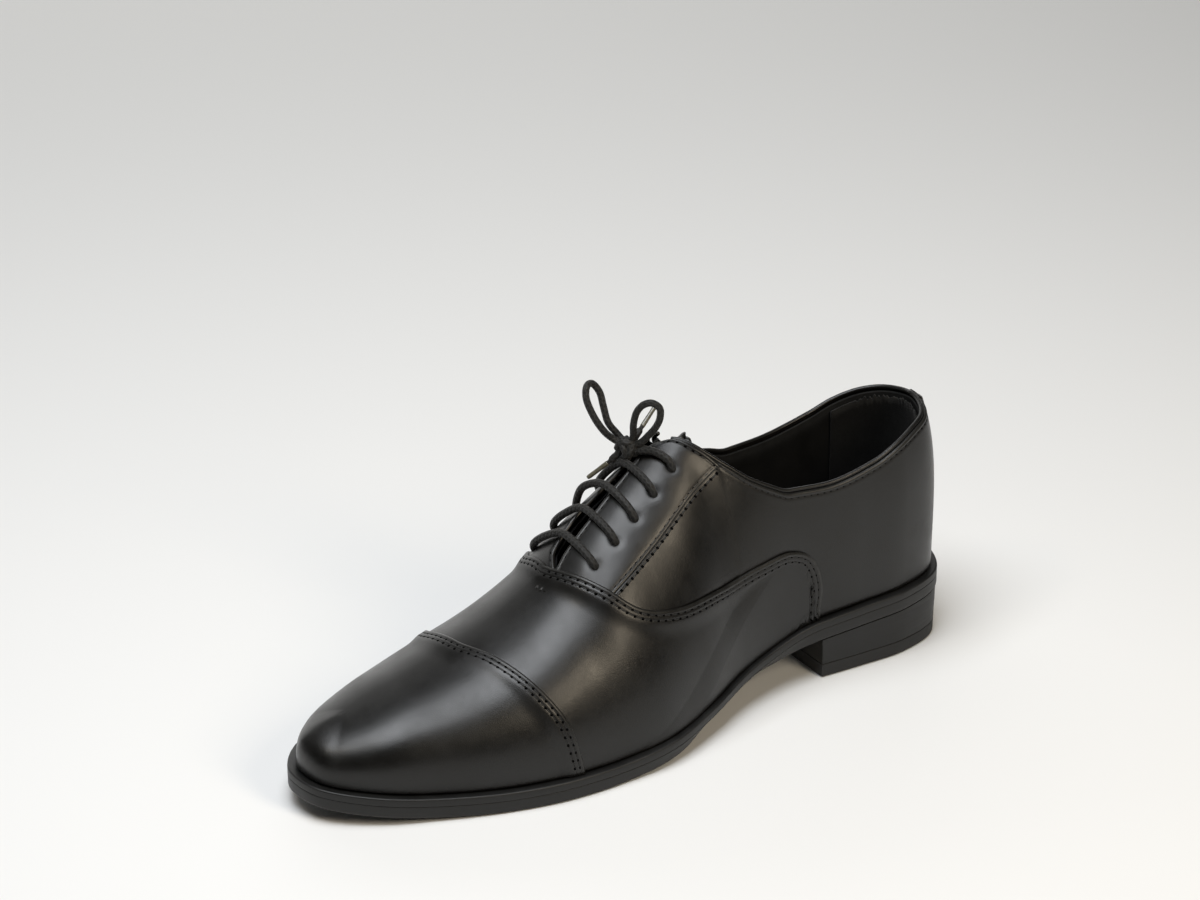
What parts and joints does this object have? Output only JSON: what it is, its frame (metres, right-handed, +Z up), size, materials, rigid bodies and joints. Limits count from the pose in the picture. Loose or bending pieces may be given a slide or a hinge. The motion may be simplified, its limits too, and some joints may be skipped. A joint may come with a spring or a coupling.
{
  "type": "leather oxford shoe",
  "caption": "Men's black cap-toe oxford, left shoe: lasted calf upper with sewn toe cap, winged vamp, laced facings tied in a bow, low-cut opening, thin sole and low block heel.",
  "frame": {"origin": "on the floor, under the middle of the shoe's bounding box", "axes": "+Z up, toe towards -Y, outer (lateral) side towards +X"},
  "size_m": [0.1052, 0.3002, 0.1349],
  "materials": {
    "upper_leather": "smooth black calf, semi-gloss, fine grain",
    "lining_leather": "matt black lining leather",
    "heel_grip_suede": "black suede",
    "stiffener": "pressed fibre sheet",
    "insole_leather": "natural insole leather",
    "cork": "ground cork",
    "steel": "plain steel",
    "sole_edge": "black inked leather edge, satin",
    "heel_stack": "black inked stacked heel, satin",
    "heel_rubber": "black rubber",
    "eyelet_metal": "black enamelled",
    "lace_cord": "round braided waxed cotton, black",
    "aglet_plastic": "dark clear film"
  },
  "bodies": {
    "shoe": {"outsole": "sole_edge", "welt": "sole_edge", "cork_filler": "cork", "insole": "insole_leather", "sock_lining": "lining_leather", "heel_block": "heel_stack", "top_piece": "heel_rubber", "shank": "steel", "heel_nail_1": "steel", "heel_nail_2": "steel", "heel_nail_3": "steel", "heel_nail_4": "steel", "heel_nail_5": "steel", "toe_cap": "upper_leather", "vamp": "upper_leather", "facing_lateral": "upper_leather", "facing_medial": "upper_leather", "quarter_lateral": "upper_leather", "quarter_medial": "upper_leather", "back_strip": "upper_leather", "vamp_lining": "lining_leather", "toe_puff": "stiffener", "quarter_lining": "lining_leather", "heel_counter": "stiffener", "heel_grip": "heel_grip_suede", "topline_binding": "upper_leather", "eyelet_lateral_1": "eyelet_metal", "eyelet_lateral_2": "eyelet_metal", "eyelet_lateral_3": "eyelet_metal", "eyelet_lateral_4": "eyelet_metal", "eyelet_lateral_5": "eyelet_metal", "eyelet_medial_1": "eyelet_metal", "eyelet_medial_2": "eyelet_metal", "eyelet_medial_3": "eyelet_metal", "eyelet_medial_4": "eyelet_metal", "eyelet_medial_5": "eyelet_metal", "lace": "lace_cord", "lace_knot": "lace_cord"},
    "tongue": {"tongue": "upper_leather"},
    "bow_loop_medial": {"bow_loop_medial": "lace_cord"},
    "bow_loop_lateral": {"bow_loop_lateral": "lace_cord"},
    "lace_end_medial": {"lace_end_medial": "lace_cord", "aglet_medial": "aglet_plastic"},
    "lace_end_lateral": {"lace_end_lateral": "lace_cord", "aglet_lateral": "aglet_plastic"}
  },
  "joints": [
    {"name": "tongue_hinge", "type": "hinge", "parent": "shoe", "child": "tongue", "pos_m": [-0.00296, -0.04095, 0.058], "axis": [1, 0, 0], "range_deg": [-12, 0]},
    {"name": "bow_loop_medial_lean", "type": "hinge", "parent": "shoe", "child": "bow_loop_medial", "pos_m": [-0.00946, 0.00765, 0.1086], "axis": [0, 1, 0], "range_deg": [-30, 10]},
    {"name": "bow_loop_lateral_lean", "type": "hinge", "parent": "shoe", "child": "bow_loop_lateral", "pos_m": [-0.00946, 0.00765, 0.1086], "axis": [0, 1, 0], "range_deg": [-10, 9]},
    {"name": "lace_end_medial_swing", "type": "hinge", "parent": "shoe", "child": "lace_end_medial", "pos_m": [-0.00946, 0.00765, 0.1086], "axis": [0, 1, 0], "range_deg": [0, 40]},
    {"name": "lace_end_lateral_swing", "type": "hinge", "parent": "shoe", "child": "lace_end_lateral", "pos_m": [-0.00946, 0.00765, 0.1086], "axis": [1, 0, 0], "range_deg": [-12, 20]}
  ]
}
